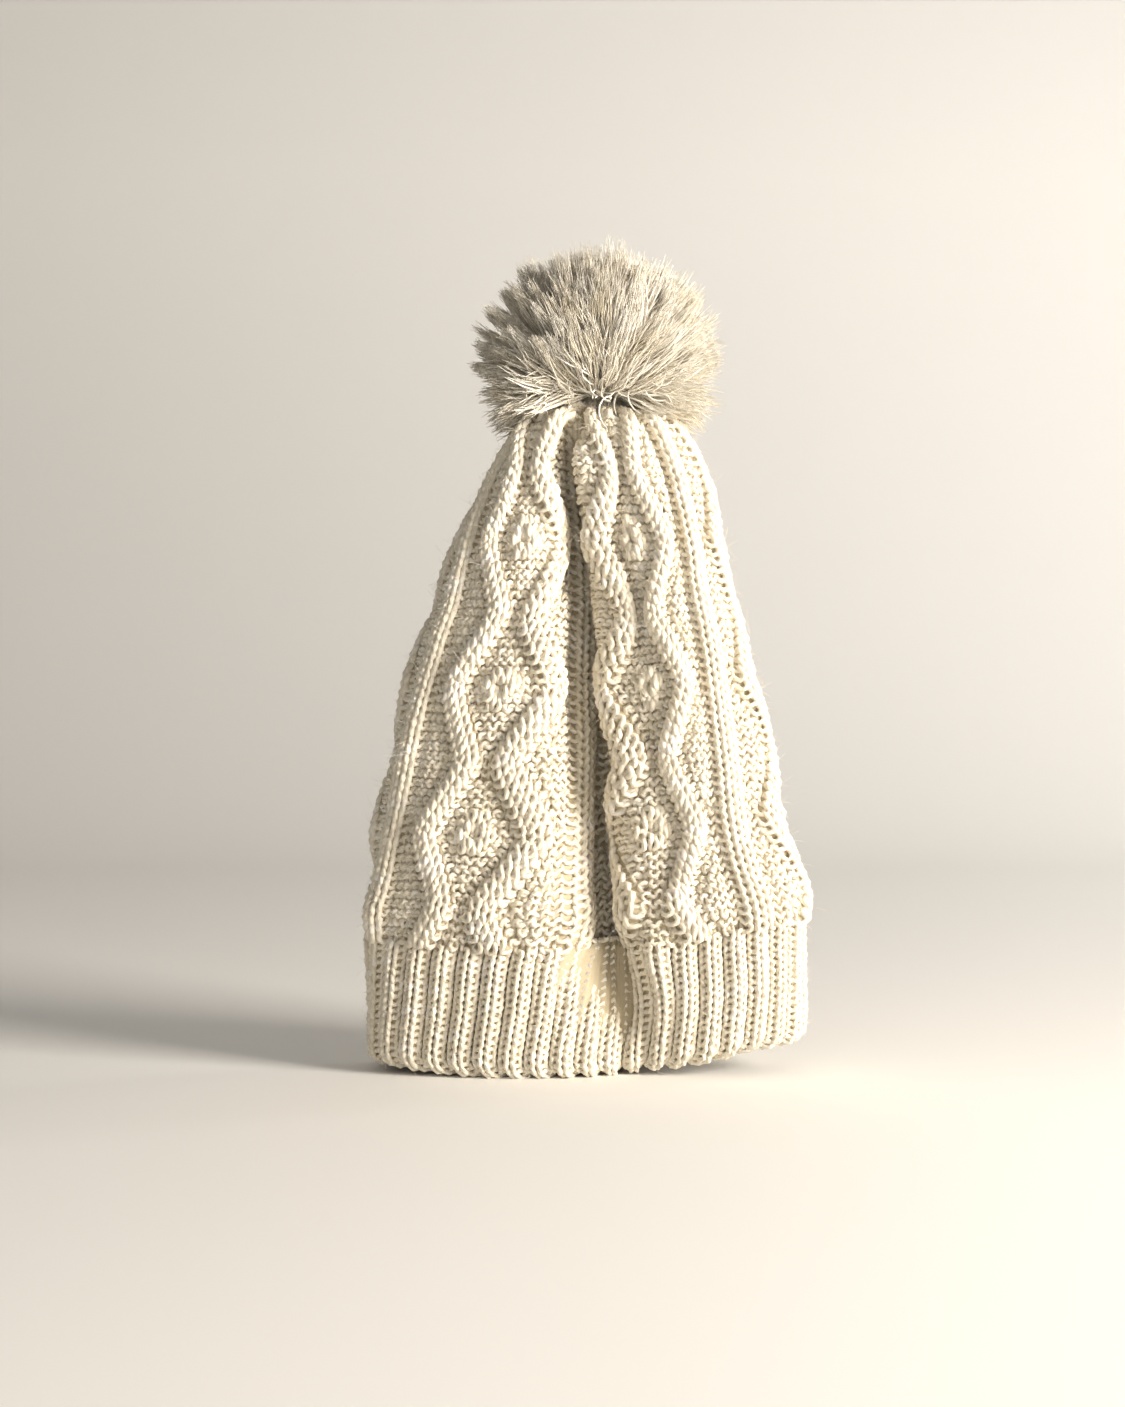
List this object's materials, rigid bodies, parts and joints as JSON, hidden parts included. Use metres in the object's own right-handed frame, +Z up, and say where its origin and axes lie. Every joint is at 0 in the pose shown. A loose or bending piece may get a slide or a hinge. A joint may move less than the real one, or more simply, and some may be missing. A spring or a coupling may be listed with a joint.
{
  "type": "knit beanie",
  "caption": "Cable-knit beanie with a doubled ribbed band, gathered crown and round yarn pompom that tilts on its sewn tie.",
  "frame": {"origin": "middle of the head opening, in the plane of the hem", "axes": "+Z up from the hem to the pompom, -Y to the front, where the deep fold runs, +X to the right as seen from the front"},
  "size_m": [0.1943, 0.106, 0.365],
  "materials": {
    "cable_knit": "soft fuzzy wool-blend knit, matt",
    "rib_knit": "soft fuzzy wool-blend knit, matt",
    "seam_yarn": "the same yarn, sewn and linked",
    "tie_thread": "strong twisted thread, matt",
    "pompom_yarn": "cut soft yarn ends, fluffy"
  },
  "bodies": {
    "hat": {"crown_body": "cable_knit", "brim_band": "rib_knit", "brim_facing": "rib_knit", "linking_chain": "seam_yarn", "brim_seam": "seam_yarn", "crown_seam": "seam_yarn", "draw_thread": "seam_yarn", "anchor_thread": "tie_thread"},
    "tie": {"pompom_tie": "tie_thread"},
    "pompom": {"pompom_binding": "tie_thread", "pompom_core": "pompom_yarn", "pompom_pile": "pompom_yarn"}
  },
  "joints": [
    {"name": "pompom_sideways", "type": "hinge", "parent": "hat", "child": "tie", "pos_m": [0.006, 0, 0.292], "axis": [0, 1, 0], "range_deg": [-20, 20], "stiffness_Nm_per_rad": 0.03},
    {"name": "pompom_nod", "type": "hinge", "parent": "tie", "child": "pompom", "pos_m": [0.006, 0, 0.298], "axis": [1, 0, 0], "range_deg": [-20, 20], "stiffness_Nm_per_rad": 0.03}
  ]
}
